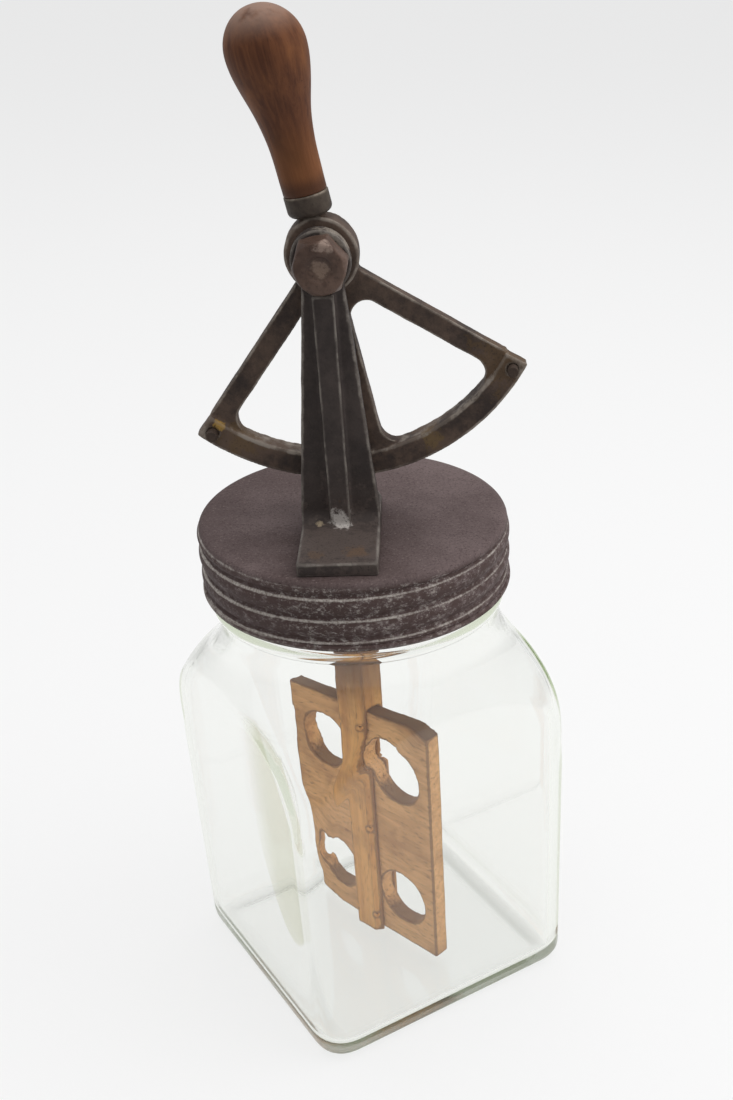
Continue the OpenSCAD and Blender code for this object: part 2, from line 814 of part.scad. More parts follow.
module spindle() {
  spindle_bottom = stem_top - socket_depth;
  color(steel_colour)
    difference() {
      at_spindle(spindle_bottom) cylinder(r = spindle_r, h = spindle_top - spindle_bottom);
      at_spindle(pinion_pin_z) rotate([0, 0, pinion_phase])
        bar_y(pinion_pin_r + fit, -2 * spindle_r, 2 * spindle_r);
      at_spindle(dasher_pin_z) rotate([0, 0, blade_turn])
        bar_y(dasher_pin_r + fit, -2 * spindle_r, 2 * spindle_r);
    }
}

// A pinion tooth, pointing to the front
module pinion_tooth() {
  tip_r = pinion_pitch_r + tooth_add;
  base_r = pinion_root_r - tooth_sink;
  root = tooth_w / 2 + tooth_slope * (pinion_pitch_r - base_r);
  tip = tooth_w / 2 - tooth_slope * tooth_add;
  polygon([[-root, -base_r], [root, -base_r], [tip, -tip_r], [-tip, -tip_r]]);
}

module pinion() {
  color(iron_colour)
    difference() {
      union() {
        at_spindle(pinion_hub_z) cylinder(r = pinion_hub_r, h = pinion_z - run_gap - pinion_hub_z);
        at_spindle(pinion_hub_z) cylinder(r = pinion_root_r, h = pinion_boss_top - pinion_hub_z);
        at_spindle(pinion_z) rotate([0, 0, pinion_phase])
          for (i = [0:pinion_teeth - 1])
            rotate([0, 0, i * 360 / pinion_teeth])
              linear_extrude(pinion_top - pinion_z) pinion_tooth();
      }
      at_spindle(pinion_hub_z - cut)
        cylinder(r = spindle_r + fit, h = pinion_boss_top - pinion_hub_z + 2 * cut);
      at_spindle(pinion_pin_z) rotate([0, 0, pinion_phase])
        bar_y(pinion_pin_r + fit, -2 * pinion_hub_r, 2 * pinion_hub_r);
    }
}

module pinion_pin() {
  color(steel_colour)
    at_spindle(pinion_pin_z) rotate([0, 0, pinion_phase])
      bar_y(pinion_pin_r, -pinion_hub_r + run_gap, pinion_hub_r - run_gap);
}

module dasher_washer() {
  color(steel_colour)
    at_spindle(stem_top)
      difference() {
        cylinder(r = dasher_washer_r, h = dasher_washer_t);
        translate([0, 0, -cut]) cylinder(r = spindle_r + fit, h = dasher_washer_t + 2 * cut);
      }
}

// Places things in the dasher's frame, with the blades along X
module at_dasher() {
  at_spindle() rotate([0, 0, blade_turn]) children();
}

// Nails across the stem and the blades' tongues
module nails(r, half_length) {
  at_dasher()
    for (side = [-1, 1])
      for (z = nail_heights)
        translate([side * nail_reach, 0, z]) bar_y(r, -half_length, half_length);
}

module dasher_shaft() {
  half = stem_w / 2;
  flat = half - stem_chamfer;
  color(dasher_colour)
    difference() {
      at_dasher()
        translate([0, 0, stem_bottom])
          linear_extrude(stem_top - stem_bottom)
            polygon([
              [-flat, -half], [flat, -half], [half, -flat], [half, flat],
              [flat, half], [-flat, half], [-half, flat], [-half, -flat]
            ]);
      at_dasher()
        for (side = [0, 180])
          rotate([0, 0, side])
            translate([blade_inner, -blade_t / 2 - fit, stem_bottom - cut])
              cube([stem_w, blade_t + 2 * fit, blade_top - stem_bottom + fit + cut]);
      at_spindle(stem_top - socket_depth - fit) cylinder(r = spindle_r + fit, h = socket_depth + cut);
      at_dasher() translate([0, 0, dasher_pin_z]) bar_y(dasher_pin_r + fit, -stem_w, stem_w);
      nails(nail_r + fit, stem_w);
    }
}

module dasher_pin() {
  color(steel_colour)
    at_dasher() translate([0, 0, dasher_pin_z]) bar_y(dasher_pin_r, -stem_w / 2, stem_w / 2);
}

// A blade on the +X side of the dasher's frame, turned to its side of the stem
module blade(side) {
  color(dasher_colour)
    difference() {
      at_dasher()
        rotate([0, 0, side])
          difference() {
            translate([blade_inner + fit, -blade_t / 2, blade_bottom])
              cube([blade_reach - blade_inner - fit, blade_t, blade_h]);
            for (z = [hole_low_z, hole_high_z])
              translate([blade_hole_reach, 0, z]) bar_y(blade_hole_r, -blade_t, blade_t);
          }
      nails(nail_r + fit, stem_w);
    }
}

module front_blade() {
  blade(0);
}

module rear_blade() {
  blade(180);
}

module blade_nails() {
  color(steel_colour) nails(nail_r, stem_w / 2 - stem_chamfer / 4);
}

jar();
screw_cap();
cap_gasket();
standard();
backing_plate();
foot_screws();
spindle_bush();
thrust_washer();
pivot_bolt();
pivot_washers();
pivot_nut();
quadrant();
stop_pins();
handle_ferrule();
handle_grip();
spindle();
pinion();
pinion_pin();
dasher_washer();
dasher_shaft();
dasher_pin();
front_blade();
rear_blade();
blade_nails();
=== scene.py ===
# %% [markdown]
# # A glass jar butter churn
# The churn is a square pressed-glass jar with a brown screw cap. A cast-iron stand on the cap carries
# a lever with a toothed quadrant, which spins a wooden dasher in the jar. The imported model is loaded
# first as a fixed frame, because every piece made here has to sit where the frame's solids sit.

# %% Load the frame
import math

import bmesh
import bpy
import numpy as np
from mathutils import Matrix, Vector, noise


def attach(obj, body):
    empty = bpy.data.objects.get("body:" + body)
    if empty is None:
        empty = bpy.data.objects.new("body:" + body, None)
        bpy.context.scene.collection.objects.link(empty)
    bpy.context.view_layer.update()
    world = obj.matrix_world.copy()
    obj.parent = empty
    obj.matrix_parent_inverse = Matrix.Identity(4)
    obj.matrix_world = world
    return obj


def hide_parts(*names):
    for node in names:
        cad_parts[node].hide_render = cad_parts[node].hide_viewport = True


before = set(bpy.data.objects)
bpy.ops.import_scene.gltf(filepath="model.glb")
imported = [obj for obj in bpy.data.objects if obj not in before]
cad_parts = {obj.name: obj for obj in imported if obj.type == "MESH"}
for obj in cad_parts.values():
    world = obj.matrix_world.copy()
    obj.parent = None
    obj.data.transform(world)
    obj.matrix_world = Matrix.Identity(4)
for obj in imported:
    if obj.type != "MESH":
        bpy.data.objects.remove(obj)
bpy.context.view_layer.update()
MM = 0.001
print("nodes in the frame:", len(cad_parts))

# %% [markdown]
# ## Shader sums as Python sums
# A finish is a net of shader nodes. Written node by node it is long and hard to follow, so a small
# class wraps one output of a node. Adding or multiplying two such wires adds a Math node, and a sum
# such as 1 - rust reads as it would on paper. Any other node comes from one method, add.

# %% Wires
class Wire:
    """One output of a shader node, which can be used in sums."""

    def __init__(self, net, socket):
        self.net = net
        self.socket = socket

    def sum(self, operation, first, second):
        return self.net.add("ShaderNodeMath", {"operation": operation}, {0: first, 1: second})

    def __add__(self, other):
        return self.sum("ADD", self, other)

    def __radd__(self, other):
        return self.sum("ADD", other, self)

    def __sub__(self, other):
        return self.sum("SUBTRACT", self, other)

    def __rsub__(self, other):
        return self.sum("SUBTRACT", other, self)

    def __mul__(self, other):
        return self.sum("MULTIPLY", self, other)

    def __rmul__(self, other):
        return self.sum("MULTIPLY", other, self)

    def __pow__(self, other):
        return self.sum("POWER", self, other)

    def __rpow__(self, other):
        return self.sum("POWER", other, self)

    def step(self, low, high):
        """0 below low, 1 above high, and a smooth climb between them."""
        return self.net.add(
            "ShaderNodeMapRange",
            {"interpolation_type": "SMOOTHSTEP", "clamp": True},
            {0: self, 1: low, 2: high, 3: 0.0, 4: 1.0},
        )


class Net:
    """A net of shader nodes."""

    def __init__(self, tree):
        self.nodes = tree.nodes
        self.links = tree.links

    def add(self, kind, settings, sockets, out=0):
        """Adds a node: its settings first, then the values or wires of its sockets."""
        node = self.nodes.new(kind)
        for key, value in settings.items():
            setattr(node, key, value)
        for key, value in sockets.items():
            self.plug(node.inputs[key], value)
        return Wire(self, node.outputs[out])

    def plug(self, socket, value):
        """Gives a socket a wire, a colour or a number."""
        if isinstance(value, Wire):
            self.links.new(value.socket, socket)
        elif isinstance(value, tuple) and socket.type == "RGBA":
            socket.default_value = (*value, 1.0)
        else:
            socket.default_value = value


print("shader sums ready")

# %% [markdown]
# ## Finishes
# Nearly every finish here needs the same few things: a place on the piece in millimetres, soft noise
# of a given size, two colours mixed by a share, and a bump. They are methods of one class, so that a
# finish below is a list of what is seen on the real piece and not a list of nodes.

# %% Finishes
class Finish(Net):
    """A material under construction, with one Principled shader."""

    def __init__(self, name):
        self.material = bpy.data.materials.new(name)
        self.material.use_nodes = True
        super().__init__(self.material.node_tree)
        self.nodes.clear()
        self.out = self.nodes.new("ShaderNodeOutputMaterial")
        self.shader = self.nodes.new("ShaderNodeBsdfPrincipled")
        self.surface = Wire(self, self.shader.outputs[0])
        self.plug(self.out.inputs["Surface"], self.surface)

    def set(self, **sockets):
        """Sets the Principled shader's sockets, such as Base_Color or Roughness."""
        for key, value in sockets.items():
            self.plug(self.shader.inputs[key.replace("_", " ")], value)

    def place(self, stretch=(1.0, 1.0, 1.0), turn=(0.0, 0.0, 0.0), start=(0.0, 0.0, 0.0)):
        """Where a point is on the piece, in millimetres, turned and stretched for grain."""
        spot = self.add("ShaderNodeTexCoord", {}, {}, "Object")
        scale = tuple(MM / s for s in stretch)
        sockets = {"Vector": spot, "Location": start, "Rotation": turn, "Scale": scale}
        return self.add("ShaderNodeMapping", {"vector_type": "TEXTURE"}, sockets)

    def axis(self, spot, which):
        """One coordinate of a place: 0 across, 1 in depth, 2 in height."""
        return self.add("ShaderNodeSeparateXYZ", {}, {0: spot}, which)

    def distance(self, spot, centre):
        """How far a place is from a centre, in millimetres."""
        return self.add("ShaderNodeVectorMath", {"operation": "DISTANCE"}, {0: spot, 1: centre}, "Value")

    def noise(self, spot, size, detail, rough, distort=0.0):
        """Soft blotches about size millimetres across."""
        sockets = {"Vector": spot, "Scale": 1.0 / size, "Detail": detail, "Roughness": rough}
        return self.add("ShaderNodeTexNoise", {}, {**sockets, "Distortion": distort})

    def mix(self, first, second, share):
        """Two colours mixed by a share."""
        settings = {"data_type": "RGBA", "blend_type": "MIX", "clamp_factor": True}
        return self.add("ShaderNodeMix", settings, {0: share, 6: first, 7: second}, 2)

    def wear(self):
        """How far a point stands out of its surroundings, as kept on the mesh."""
        return self.add("ShaderNodeAttribute", {"attribute_name": "wear"}, {}, "Fac")

    def bump(self, height, strength, distance):
        """A bumpy normal, with the distance in millimetres."""
        sockets = {"Strength": strength, "Distance": distance * MM, "Height": height}
        return self.add("ShaderNodeBump", {}, sockets)


print("finishes ready")

# %% [markdown]
# ## Colours as they are seen
# Colours listed here are on the screen's scale, and shaders want them on a linear one. The helper
# turns a screen colour of 0 to 255 into the linear value once, so the finishes below can be read.

# %% Screen colours
def seen(red, corner_shade_streak, blue):
    """A screen colour as the linear colour that a shader wants."""
    def linear(value):
        value /= 255
        return value / 12.92 if value <= 0.04045 else ((value + 0.055) / 1.055) ** 2.4
    return (linear(red), linear(corner_shade_streak), linear(blue))


print("mid grey is", [round(v, 3) for v in seen(128, 128, 128)])

# %% [markdown]
# ## Helpers for meshes
# Round pieces are made from rings of points, joined ring to ring. A piece that stands for a solid of
# the frame then rides on its body and hides that solid.

# %% Rings to mesh
def skin(name, rings, loop=False):
    """Joins rings of the same number of points into a mesh: a loop of rings, or closed at both ends."""
    count = len(rings[0])
    points = [tuple(p) for ring in rings for p in ring]
    faces = []
    last = len(rings) if loop else len(rings) - 1
    for i in range(last):
        low = i * count
        high = ((i + 1) % len(rings)) * count
        for k in range(count):
            n = (k + 1) % count
            faces.append((low + k, low + n, high + n, high + k))
    if not loop:
        faces.append(tuple(reversed(range(count))))
        faces.append(tuple(range((len(rings) - 1) * count, len(rings) * count)))
    mesh = bpy.data.meshes.new(name)
    mesh.from_pydata(points, [], faces)
    mesh.validate()
    mesh.update()
    return mesh


print("rings ready")


# %% Pieces to bodies
def settle(name, mesh, body, nodes, finish, smooth=40):
    """Puts a mesh in the scene as a piece that rides a body and stands for nodes."""
    mesh.shade_smooth()
    if smooth < 180:
        mesh.set_sharp_from_angle(angle=math.radians(smooth))
    mesh.materials.clear()
    mesh.materials.append(finish.material)
    piece = bpy.data.objects.new(name, mesh)
    bpy.context.scene.collection.objects.link(piece)
    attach(piece, body)
    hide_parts(*nodes)
    print(name, "has", len(mesh.polygons), "faces")


def dress(node, finish):
    """Gives a solid of the frame a finish and leaves its shape as it is."""
    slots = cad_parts[node].data.materials
    slots.clear()
    slots.append(finish.material)


print("pieces ready")

# %% [markdown]
# ## Castings
# An iron casting has no sharp edge anywhere: the sand mould rounds every corner and leaves the skin
# slightly lumpy. A bevel on every edge of a toothed quadrant would tangle, so the solid is rebuilt on
# a fine grid of cells, smoothed, thinned again if it is small, and given a little noise. A number
# kept on each point says how far it stands out, which the finishes use to wear the edges bright; on
# the iron, that brightness is also a painted highlight along the edges.

# %% Wear and lumps
def read_points(mesh, what):
    """The places (co) or normals (normal) of a mesh's points, one row each."""
    flat = np.zeros(len(mesh.vertices) * 3)
    mesh.vertices.foreach_get(what, flat)
    return flat.reshape(-1, 3)


def keep_wear(mesh, values):
    layer = mesh.attributes.new("wear", "FLOAT", "POINT")
    layer.data.foreach_set("value", values.astype(np.float32))


def edge_wear(mesh, rounds):
    """Keeps on each point how far it stands out of its smoothed surroundings, in millimetres."""
    points = read_points(mesh, "co")
    pairs = np.zeros(len(mesh.edges) * 2, int)
    mesh.edges.foreach_get("vertices", pairs)
    pairs = pairs.reshape(-1, 2)
    count = np.bincount(pairs.ravel(), minlength=len(points)).clip(1)[:, None]
    calm = points.copy()
    for _ in range(rounds):
        total = np.zeros_like(calm)
        np.add.at(total, pairs[:, 0], calm[pairs[:, 1]])
        np.add.at(total, pairs[:, 1], calm[pairs[:, 0]])
        calm = 0.5 * calm + 0.5 * total / count
    keep_wear(mesh, ((points - calm) * read_points(mesh, "normal")).sum(1) / MM)


def lumps(mesh, depth, size, seed):
    """Moves each point along its normal by soft noise, depth and size in millimetres."""
    points = read_points(mesh, "co")
    normals = read_points(mesh, "normal")
    offset = Vector((seed * 7.1, seed * 3.7, seed * 5.3))
    push = np.array([noise.noise(Vector(p) / (size * MM) + offset) for p in points])
    points += normals * (push * depth * MM)[:, None]
    mesh.vertices.foreach_set("co", points.ravel())
    mesh.update()


print("wear and lumps ready")

# %% Cast a solid
wear_rounds = 6
weld_gap = 0.002


def cast(node, cell, smooth_rounds, keep, lump, seed):
    """A solid of the frame, rebuilt with round edges and a slightly lumpy skin."""
    source = bpy.data.objects.new("rough_" + node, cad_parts[node].data.copy())
    bpy.context.scene.collection.objects.link(source)
    shape = bmesh.new()
    shape.from_mesh(source.data)
    bmesh.ops.remove_doubles(shape, verts=shape.verts, dist=weld_gap * MM)
    shape.to_mesh(source.data)
    shape.free()
    grid = source.modifiers.new("grid", "REMESH")
    grid.mode = "VOXEL"
    grid.voxel_size = cell * MM
    grid.adaptivity = 0.0
    soft = source.modifiers.new("soft", "SMOOTH")
    soft.factor = 0.5
    soft.iterations = smooth_rounds
    if keep < 1.0:
        thin = source.modifiers.new("thin", "DECIMATE")
        thin.ratio = keep
    bpy.context.view_layer.update()
    ready = source.evaluated_get(bpy.context.evaluated_depsgraph_get())
    made = bpy.data.meshes.new_from_object(ready)
    made.name = node + "_mesh"
    bpy.data.objects.remove(source)
    edge_wear(made, wear_rounds)
    lumps(made, *lump, seed)
    return made


print("casting helper ready")

# %% [markdown]
# ## The glass
# Old pressed glass is clear with a breath of green that only shows where the wall is thick, at the
# corners and round the base. That is how light is lost inside glass, so the colour is put in the
# volume and not on the surface. The mould leaves the walls slightly wavy, which bump gives well, and
# the underside is scratched dull from standing. Beside one corner, a greener, darker streak is painted
# on the surface: painted shade for how the thick corner glass looks from this side.

# %% Glass finish
jar_turn = math.radians(31.5)
glass = Finish("pressed_glass")
spot = glass.place()
height_mm = glass.axis(spot, 2)
wave = glass.noise(spot, 34.0, 1.0, 0.4)
scratched = height_mm.step(1.6, 0.4)
square_on = glass.place(turn=(0.0, 0.0, jar_turn))
out_from, along = glass.axis(square_on, 0), glass.axis(square_on, 1)
upper_edge = 160.0 - 0.045 * (along + 22.0) * (along + 22.0)
lower_edge = 57.0 + 0.072 * (along + 41.0) * (along + 41.0)
# A greener, darker streak painted on one panel beside its corner: painted shade for how the thick corner
# glass looks from this side.
corner_shade_streak = (upper_edge - height_mm).step(0.0, 2.0) * (height_mm - lower_edge).step(0.0, 3.0)
corner_shade_streak = corner_shade_streak * out_from.step(-60.0, -60.4) * along.step(-50.4, -49.6) * along.step(-16.0, -34.0) ** 0.4
glass.set(
    Base_Color=glass.mix((1.0, 1.0, 1.0), (0.7, 0.7, 0.55), corner_shade_streak),
    Roughness=0.5 * scratched,
    IOR=1.5,
    Transmission_Weight=1.0,
    Normal=glass.bump(wave, 0.05, 1.2),
)
inside = glass.add("ShaderNodeVolumeAbsorption", {}, {"Color": (0.78, 0.86, 0.66), "Density": 14.0})
glass.plug(glass.out.inputs["Volume"], inside)
print("glass finish has", len(glass.nodes), "nodes")

# %% [markdown]
# ## Light through the glass
# A ray tracer makes glass cast a dark shadow and lets light die inside a thick edge, which real glass
# doesn't do. So rays that look for a lamp pass straight through, and light that has been thrown about
# inside the wall three times is let out with a small loss.

# %% Let light through
def let_through(kind, below, above, first, tint):
    """Lets rays of one kind, or thrown about often enough, straight through the glass."""
    share = glass.add("ShaderNodeLightPath", {}, {}, kind).step(below, above)
    through = glass.add("ShaderNodeBsdfTransparent", {}, {"Color": tint})
    return glass.add("ShaderNodeMixShader", {}, {0: share, 1: first, 2: through})


lit = let_through("Is Shadow Ray", 0.0, 1.0, glass.surface, (0.93, 0.95, 0.93))
freed = let_through("Glossy Depth", 2.2, 2.8, lit, (0.8, 0.82, 0.74))
glass.plug(glass.out.inputs["Surface"], freed)
print("glass finish now has", len(glass.nodes), "nodes")

# %% [markdown]
# ## The jar
# The jar is square with round corners below and round at the neck. The mould for it was cut so that
# the flat sides run softly into the shoulder. Each height is therefore one ring of points, as far out
# as the nearer of two forms, the square and the round shoulder, with the meeting line rounded off.
# The outside, the lip and the inside are one closed skin, so that light bends as it does in real glass.

# %% Jar sizes, in millimetres
jar_h, jar_side, jar_corner, soft_corner = 218.0, 127.4, 13.0, math.radians(2.0)
jar_wall, jar_floor, heel, inner_heel, inner_corner, least_corner = 4.6, 6.0, 8.0, 6.0, 9.4, 2.0
neck, shoulder_z, shoulder_arc, cove_arc = 56.4, 124.0, 44.0, 26.0
ring_z, ring_r, ring_span = 188.0, 2.0, 3.6
corner_reach = jar_side / 2 * math.sqrt(2) - jar_corner * (math.sqrt(2) - 1)
shoulder_turn = math.acos(1 - (corner_reach - neck) / (shoulder_arc + cove_arc))
quarter = np.concatenate([np.arange(0, 34, 2.0), np.arange(34, 40, 0.5), np.arange(40, 50, 0.25)])
quarter = np.concatenate([quarter, np.arange(50, 56, 0.5), np.arange(56, 90, 2.0)])
around = np.radians(np.concatenate([quarter + side for side in (0, 90, 180, 270)]))
print("jar corner reaches", round(corner_reach, 1), "mm")


# %% The square form
def sharp_reach(angles, half, corner):
    """Distance from the axis to a square with round corners, for each angle."""
    fold = np.abs((angles + math.pi / 4) % (math.pi / 2) - math.pi / 4)
    flat = half / np.cos(fold)
    core = half - corner
    lean = fold - math.pi / 4
    far = core * math.sqrt(2)
    rounded = far * np.cos(lean) + np.sqrt(np.maximum(corner ** 2 - (far * np.sin(lean)) ** 2, 0))
    return np.where(np.tan(fold) * half > core, rounded, flat)


def square_reach(angles, half, corner):
    """The same, averaged over a few degrees, so that flat and corner run into each other softly."""
    offsets = np.linspace(-2.2, 2.2, 23)
    weights = np.exp(-offsets ** 2 / 2)
    reaches = [sharp_reach(angles + soft_corner * off, half, corner) for off in offsets]
    return np.average(reaches, axis=0, weights=weights)


print("square side at 0 degrees:", square_reach(np.array([0.0]), jar_side / 2, jar_corner)[0])


# %% The round shoulder, and both together
def shoulder_reach(z, inset):
    """Radius of the round shoulder and neck at a height. Below, it widens out of the square's way."""
    both = shoulder_arc + cove_arc
    curve_x = corner_reach - shoulder_arc
    cove_x = curve_x + both * math.cos(shoulder_turn)
    cove_z = shoulder_z + both * math.sin(shoulder_turn)
    meet_z = shoulder_z + (shoulder_arc - inset) * math.sin(shoulder_turn)
    if z < shoulder_z:
        return corner_reach - inset + (shoulder_z - z) ** 2 / (2 * shoulder_arc)
    if z < meet_z:
        return curve_x + math.sqrt((shoulder_arc - inset) ** 2 - (z - shoulder_z) ** 2)
    if z < cove_z:
        return cove_x - math.sqrt((cove_arc + inset) ** 2 - (cove_z - z) ** 2)
    return neck - inset


def softer_of(a, b, blend):
    """The smaller of two distances, with the meeting line rounded off."""
    near = np.maximum(blend - np.abs(a - b), 0)
    return np.minimum(a, b) - near * near / (4 * blend)


def jar_ring(z, inset, draw_in=0.0, extra=0.0):
    """One ring of the jar at height z, drawn in from the outside by inset."""
    half = jar_side / 2 - inset - draw_in
    corner = jar_corner + (inner_corner - jar_corner) * inset / jar_wall - draw_in
    square = square_reach(around, half, max(corner, least_corner))
    # The meeting line is softest on the flat sides, and inside it follows the outside at an even distance.
    blend = 3.0 + 6.0 * np.cos(2 * around) ** 2 - 0.14 * inset
    reach = softer_of(square, np.full_like(around, shoulder_reach(z, inset)), blend) + extra
    turn = around + jar_turn
    return np.stack([reach * np.cos(turn), reach * np.sin(turn), np.full_like(reach, z)], 1) * MM


print("neck radius:", shoulder_reach(jar_h, 0.0))

# %% The thread on the neck
cap_top = 221.1
thread_pitch = 8.9
first_groove = 4.6
thread_low, thread_high, thread_out = 197.0, 214.5, 1.3


def groove_height(angles):
    """Height of the cap's first rolled groove, which climbs to the right as a screw thread does."""
    return cap_top - first_groove + thread_pitch * (angles + math.pi / 2) / (2 * math.pi)


def from_groove(z, angles):
    """How far a height is above the nearest groove of the cap, at most half a pitch."""
    return (z - groove_height(angles) + thread_pitch / 2) % thread_pitch - thread_pitch / 2


def neck_thread(z):
    """How far the glass thread stands out of the neck at height z, for each angle."""
    turn = (around + jar_turn + math.pi) % (2 * math.pi) - math.pi
    off = from_groove(z + thread_pitch / 2, turn)
    ends = np.clip((z - thread_low) / 4, 0, 1) * np.clip((thread_high - z) / 3, 0, 1)
    return thread_out * np.exp(-(off / thread_out) ** 2) * ends


print("the thread climbs", thread_pitch, "mm in a turn")

# %% Jar rings
base_rings = ((18.0, 1.1), (14.5, 1.0), (12.5, 0.7), (10.8, 0.25), (9.0, 0.02))
floor_rings = ((8.0, jar_floor - 0.15), (14.0, jar_floor - 0.35), (24.0, jar_floor - 0.5))
# The rings stand close together where the shoulder bends the light.
outer_heights = list(np.arange(11, 90, 10)) + list(np.arange(92, 184, 1.5))
inner_heights = list(np.arange(212, 91, -1.5)) + list(np.arange(85, 13, -10))
thread_heights = np.arange(193, 215.4, 0.8)
rings = [jar_ring(z, 0.0, draw) for draw, z in base_rings]
for step in np.radians(np.linspace(0, 90, 9)):
    rings.append(jar_ring(heel * (1 - math.cos(step)), 0.0, heel * (1 - math.sin(step))))
rings += [jar_ring(z, 0.0) for z in outer_heights]
for z in np.linspace(ring_z - ring_span, ring_z + ring_span, 17):
    swell = ring_r * math.sqrt(max(0.0, 1 - ((z - ring_z) / ring_r) ** 2))
    rings.append(jar_ring(z, 0.0, extra=swell))
rings += [jar_ring(z, 0.0, extra=neck_thread(z)) for z in thread_heights]
lip = jar_wall / 2
for step in np.radians(np.linspace(0, 180, 9)):
    rings.append(jar_ring(jar_h - lip + lip * math.sin(step), lip * (1 - math.cos(step))))
rings += [jar_ring(z, jar_wall) for z in inner_heights]
for step in np.radians(np.linspace(0, 90, 8)):
    z = jar_floor + inner_heel * (1 - math.sin(step))
    rings.append(jar_ring(z, jar_wall, inner_heel * (1 - math.cos(step))))
rings += [jar_ring(z, jar_wall, draw) for draw, z in floor_rings]
settle("glass_jar", skin("glass_jar", rings), "jar", ["jar"], glass, 180)

# %% [markdown]
# ## The cap's paint
# The cap is tinned sheet with baked brown lacquer. It is matt and finely speckled on top, with a painted
# shadow round the iron foot and painted light that makes the top lighter to the right. Round the
# skirt, years of unscrewing have rubbed the lacquer off the rolled thread, so grey metal shows there
# in broken lines and flecks. The lines below the grooves, at the hem and along the top edge are also
# painted highlights. The wear kept on the mesh says where, and noise breaks it up.

# %% Brown lacquer
lacquer = Finish("cap_lacquer")
spot = lacquer.place()
tall = lacquer.place((1.0, 1.0, 1.6))
across, height_mm = lacquer.axis(spot, 0), lacquer.axis(spot, 2)
blotch = lacquer.noise(spot, 30.0, 5.0, 0.6)
speck = lacquer.noise(spot, 0.8, 3.0, 0.75)
grime = lacquer.noise(tall, 4.0, 6.0, 0.7)
on_skirt = height_mm.step(cap_top - 1.0, cap_top - 3.0)
# Painted shadow: the cap top is darker round the iron foot, where the foot shades it.
foot_shadow = (lacquer.distance(spot, (0.0, -40.0, 221.0)) + 30.0 * (blotch - 0.5)).step(44.0, 16.0)
# Painted light: the small across term makes the top lighter to the right, towards the right-hand lamp.
brown = lacquer.mix(seen(86, 73, 72), seen(108, 94, 93), (blotch + 0.002 * across).step(0.25, 0.75))
brown = lacquer.mix(brown, seen(62, 49, 46), 0.45 * foot_shadow)
brown = lacquer.mix(brown, seen(58, 46, 45), 0.7 * speck.step(0.52, 0.68))
brown = lacquer.mix(brown, seen(138, 124, 119), 0.6 * speck.step(0.42, 0.28))
brown = lacquer.mix(brown, seen(78, 63, 60), 0.9 * on_skirt * grime.step(0.62, 0.42))
print("lacquer has", len(lacquer.nodes), "nodes")

# %% Bare metal and painted highlights on the cap
broken = lacquer.noise(spot, 6.0, 6.0, 0.8)
# Rubbed lacquer and painted highlights together: the lines kept on the mesh, made stronger to the left.
wear_and_glint = (lacquer.wear() + 1.5 * (broken - 0.5) - 0.5 - 0.003 * across).step(0.0, 0.5)
at_front = across.step(-50.0, -5.0) * across.step(58.0, 20.0)
flecks = lacquer.noise(tall, 1.3, 5.0, 0.8) + 0.7 * (grime - 0.5) + 0.03 * at_front
flecks = flecks.step(0.55, 0.67) * on_skirt * (0.5 + 0.5 * at_front)
bare_and_glint = lacquer.add("ShaderNodeMath", {"operation": "MAXIMUM"}, {0: 0.85 * wear_and_glint, 1: 0.55 * flecks})
metal = lacquer.mix(seen(128, 117, 110), seen(206, 199, 191), speck.step(0.3, 0.65))
lacquer.set(
    Base_Color=lacquer.mix(brown, metal, bare_and_glint),
    Roughness=0.62 - 0.15 * bare_and_glint + 0.1 * (speck - 0.5),
    Metallic=0.2 * bare_and_glint,
    Normal=lacquer.bump(speck * 0.6 + grime, 0.4, 0.4),
    Specular_IOR_Level=0.15,
)
print("cap finish has", len(lacquer.nodes), "nodes")

# %% [markdown]
# ## The screw cap
# The thread of such a cap is rolled into the sheet, so one groove climbs round the skirt about two
# and a half times. Plain rings would be quicker, but from the left and right the grooves must not
# stand level. The sheet is one closed skin, with a hole where the spindle passes.

# %% Cap rings
cap_r, cap_t, cap_edge, skirt_h, curl = 60.0, 0.8, 2.5, 27.3, 1.1
groove_depth, groove_width, band_bulge = 1.0, 1.15, 0.8
thread_first, thread_last = 2.4, 25.2
spindle_x, spindle_y = -3.6, 3.1
fine = np.radians(np.arange(0, 360, 1.25))
signed = (fine + math.pi) % (2 * math.pi) - math.pi


def thread_offset(z):
    """How far the rolled thread moves the skirt in or out at height z, for each angle."""
    off = from_groove(z, signed)
    band = band_bulge * (1 - np.cos(2 * math.pi * off / thread_pitch)) / 2
    groove = groove_depth * np.exp(-(off / groove_width) ** 2)
    depth = cap_top - z
    ends = np.clip((depth - thread_first) / 1.2, 0, 1) * np.clip((thread_last - depth) / 1.6, 0, 1)
    return (band - groove) * ends


def cap_ring(r, z, inset=0.0):
    """One ring of the cap. r and z are its radius and height, inset draws the thread in."""
    reach = r - inset + thread_offset(z)
    return np.stack([reach * np.cos(fine), reach * np.sin(fine), np.full_like(reach, z)], 1) * MM


def hole_ring(r, z, share):
    """A ring on the flat top, from the spindle's hole at share 0 to the cap's own circle at 1."""
    x, y = spindle_x * (1 - share), spindle_y * (1 - share)
    return np.stack([x + r * np.cos(fine), y + r * np.sin(fine), np.full_like(fine, z)], 1) * MM


print("cap rings have", len(fine), "points")


